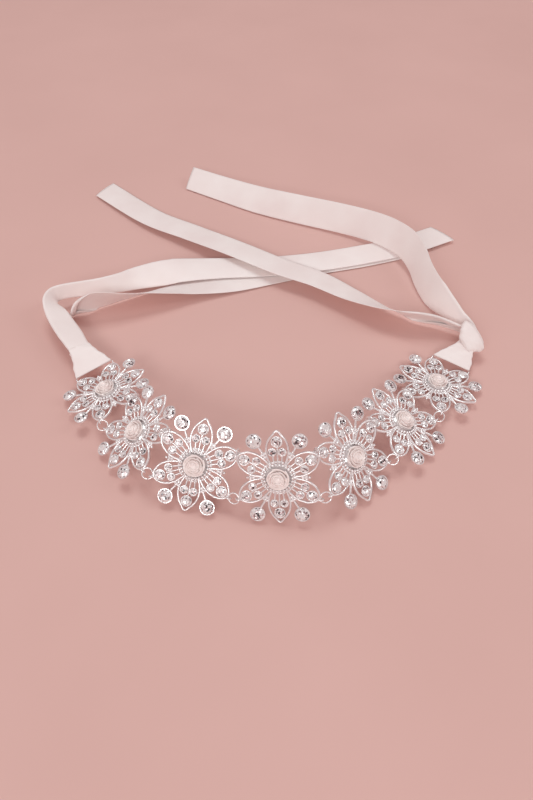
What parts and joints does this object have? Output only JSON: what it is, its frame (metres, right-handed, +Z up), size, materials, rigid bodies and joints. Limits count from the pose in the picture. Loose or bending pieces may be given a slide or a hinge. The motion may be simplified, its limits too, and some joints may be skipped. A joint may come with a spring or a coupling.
{
  "type": "flower crown",
  "caption": "Flexible flower crown: silver filigree flowers with resin roses and crystals on jump rings, tied with blush satin ribbons.",
  "frame": {"origin": "middle of the bounding box's bottom face, on the table that the crown lies on", "axes": "+X along the crown to the right, +Y from the middle flower towards the ribbon ends, +Z up"},
  "size_m": [0.2526, 0.2938, 0.0385],
  "materials": {
    "silver_plate": "polished",
    "rose_resin": "satin",
    "crystal": "polished",
    "ribbon_satin": "satin"
  },
  "bodies": {
    "centre_flower": {"centre_flower_frame": "silver_plate", "centre_flower_rose": "rose_resin", "centre_flower_stone_1": "crystal", "centre_flower_stone_2": "crystal", "centre_flower_stone_3": "crystal", "centre_flower_stone_4": "crystal"},
    "left_1_flower": {"left_1_flower_frame": "silver_plate", "left_1_flower_rose": "rose_resin", "left_1_flower_stone_1": "crystal", "left_1_flower_stone_2": "crystal", "left_1_flower_stone_3": "crystal", "left_1_flower_stone_4": "crystal"},
    "left_2_flower": {"left_2_flower_frame": "silver_plate", "left_2_flower_rose": "rose_resin", "left_2_flower_stone_1": "crystal", "left_2_flower_stone_2": "crystal", "left_2_flower_stone_3": "crystal", "left_2_flower_stone_4": "crystal"},
    "left_3_flower": {"left_3_flower_frame": "silver_plate", "left_3_flower_rose": "rose_resin", "left_3_flower_stone_1": "crystal", "left_3_flower_stone_2": "crystal", "left_3_flower_stone_3": "crystal", "left_3_flower_stone_4": "crystal", "left_ribbon_loop": "ribbon_satin", "left_ribbon_tail_1": "ribbon_satin", "left_ribbon_tail_2": "ribbon_satin"},
    "right_1_flower": {"right_1_flower_frame": "silver_plate", "right_1_flower_rose": "rose_resin", "right_1_flower_stone_1": "crystal", "right_1_flower_stone_2": "crystal", "right_1_flower_stone_3": "crystal", "right_1_flower_stone_4": "crystal"},
    "right_2_flower": {"right_2_flower_frame": "silver_plate", "right_2_flower_rose": "rose_resin", "right_2_flower_stone_1": "crystal", "right_2_flower_stone_2": "crystal", "right_2_flower_stone_3": "crystal", "right_2_flower_stone_4": "crystal"},
    "right_3_flower": {"right_3_flower_frame": "silver_plate", "right_3_flower_rose": "rose_resin", "right_3_flower_stone_1": "crystal", "right_3_flower_stone_2": "crystal", "right_3_flower_stone_3": "crystal", "right_3_flower_stone_4": "crystal", "right_ribbon_loop": "ribbon_satin", "right_ribbon_tail_1": "ribbon_satin", "right_ribbon_tail_2": "ribbon_satin"},
    "left_1_rings": {"left_1_ring_upper": "silver_plate", "left_1_ring_lower": "silver_plate"},
    "left_2_rings": {"left_2_ring_upper": "silver_plate", "left_2_ring_lower": "silver_plate"},
    "left_3_rings": {"left_3_ring_upper": "silver_plate", "left_3_ring_lower": "silver_plate"},
    "right_1_rings": {"right_1_ring_upper": "silver_plate", "right_1_ring_lower": "silver_plate"},
    "right_2_rings": {"right_2_ring_upper": "silver_plate", "right_2_ring_lower": "silver_plate"},
    "right_3_rings": {"right_3_ring_upper": "silver_plate", "right_3_ring_lower": "silver_plate"}
  },
  "joints": [
    {"name": "left_1_inner_swing", "type": "hinge", "parent": "centre_flower", "child": "left_1_rings", "pos_m": [-0.00996, -0.13189, 0.01732], "axis": [-0.0495, 0.5494, 0.8341], "range_deg": [-15, 15]},
    {"name": "left_1_outer_swing", "type": "hinge", "parent": "left_1_rings", "child": "left_1_flower", "pos_m": [-0.01173, -0.12955, 0.01505], "axis": [0.2403, 0.6548, 0.7166], "range_deg": [-15, 15]},
    {"name": "left_2_inner_swing", "type": "hinge", "parent": "left_1_flower", "child": "left_2_rings", "pos_m": [-0.04706, -0.12008, 0.01825], "axis": [0.2403, 0.6548, 0.7166], "range_deg": [-15, 15]},
    {"name": "left_2_outer_swing", "type": "hinge", "parent": "left_2_rings", "child": "left_2_flower", "pos_m": [-0.04743, -0.11819, 0.0171], "axis": [0.6154, 0.602, 0.5087], "range_deg": [-15, 15]},
    {"name": "left_3_inner_swing", "type": "hinge", "parent": "left_2_flower", "child": "left_3_rings", "pos_m": [-0.07025, -0.09001, 0.01135], "axis": [0.6154, 0.602, 0.5087], "range_deg": [-15, 15]},
    {"name": "left_3_outer_swing", "type": "hinge", "parent": "left_3_rings", "child": "left_3_flower", "pos_m": [-0.07103, -0.08808, 0.01039], "axis": [0.8431, 0.515, 0.1545], "range_deg": [-15, 15], "deforming": ["left_ribbon_loop", "left_ribbon_tail_1", "left_ribbon_tail_2"]},
    {"name": "right_1_inner_swing", "type": "hinge", "parent": "centre_flower", "child": "right_1_rings", "pos_m": [0.02647, -0.13444, 0.02116], "axis": [-0.0495, 0.5494, 0.8341], "range_deg": [-15, 15]},
    {"name": "right_1_outer_swing", "type": "hinge", "parent": "right_1_rings", "child": "right_1_flower", "pos_m": [0.02802, -0.1315, 0.01985], "axis": [-0.3461, 0.6399, 0.6861], "range_deg": [-15, 15]},
    {"name": "right_2_inner_swing", "type": "hinge", "parent": "right_1_flower", "child": "right_2_rings", "pos_m": [0.05699, -0.10967, 0.01411], "axis": [-0.3461, 0.6399, 0.6861], "range_deg": [-15, 15]},
    {"name": "right_2_outer_swing", "type": "hinge", "parent": "right_2_rings", "child": "right_2_flower", "pos_m": [0.05789, -0.10842, 0.01339], "axis": [-0.6521, 0.6709, 0.3529], "range_deg": [-15, 15]},
    {"name": "right_3_inner_swing", "type": "hinge", "parent": "right_2_flower", "child": "right_3_rings", "pos_m": [0.08209, -0.08154, 0.00702], "axis": [-0.6521, 0.6709, 0.3529], "range_deg": [-15, 15]},
    {"name": "right_3_outer_swing", "type": "hinge", "parent": "right_3_rings", "child": "right_3_flower", "pos_m": [0.08348, -0.07942, 0.00559], "axis": [-0.8279, 0.5606, 0.0174], "range_deg": [-15, 15], "deforming": ["right_ribbon_loop", "right_ribbon_tail_1", "right_ribbon_tail_2"]}
  ]
}
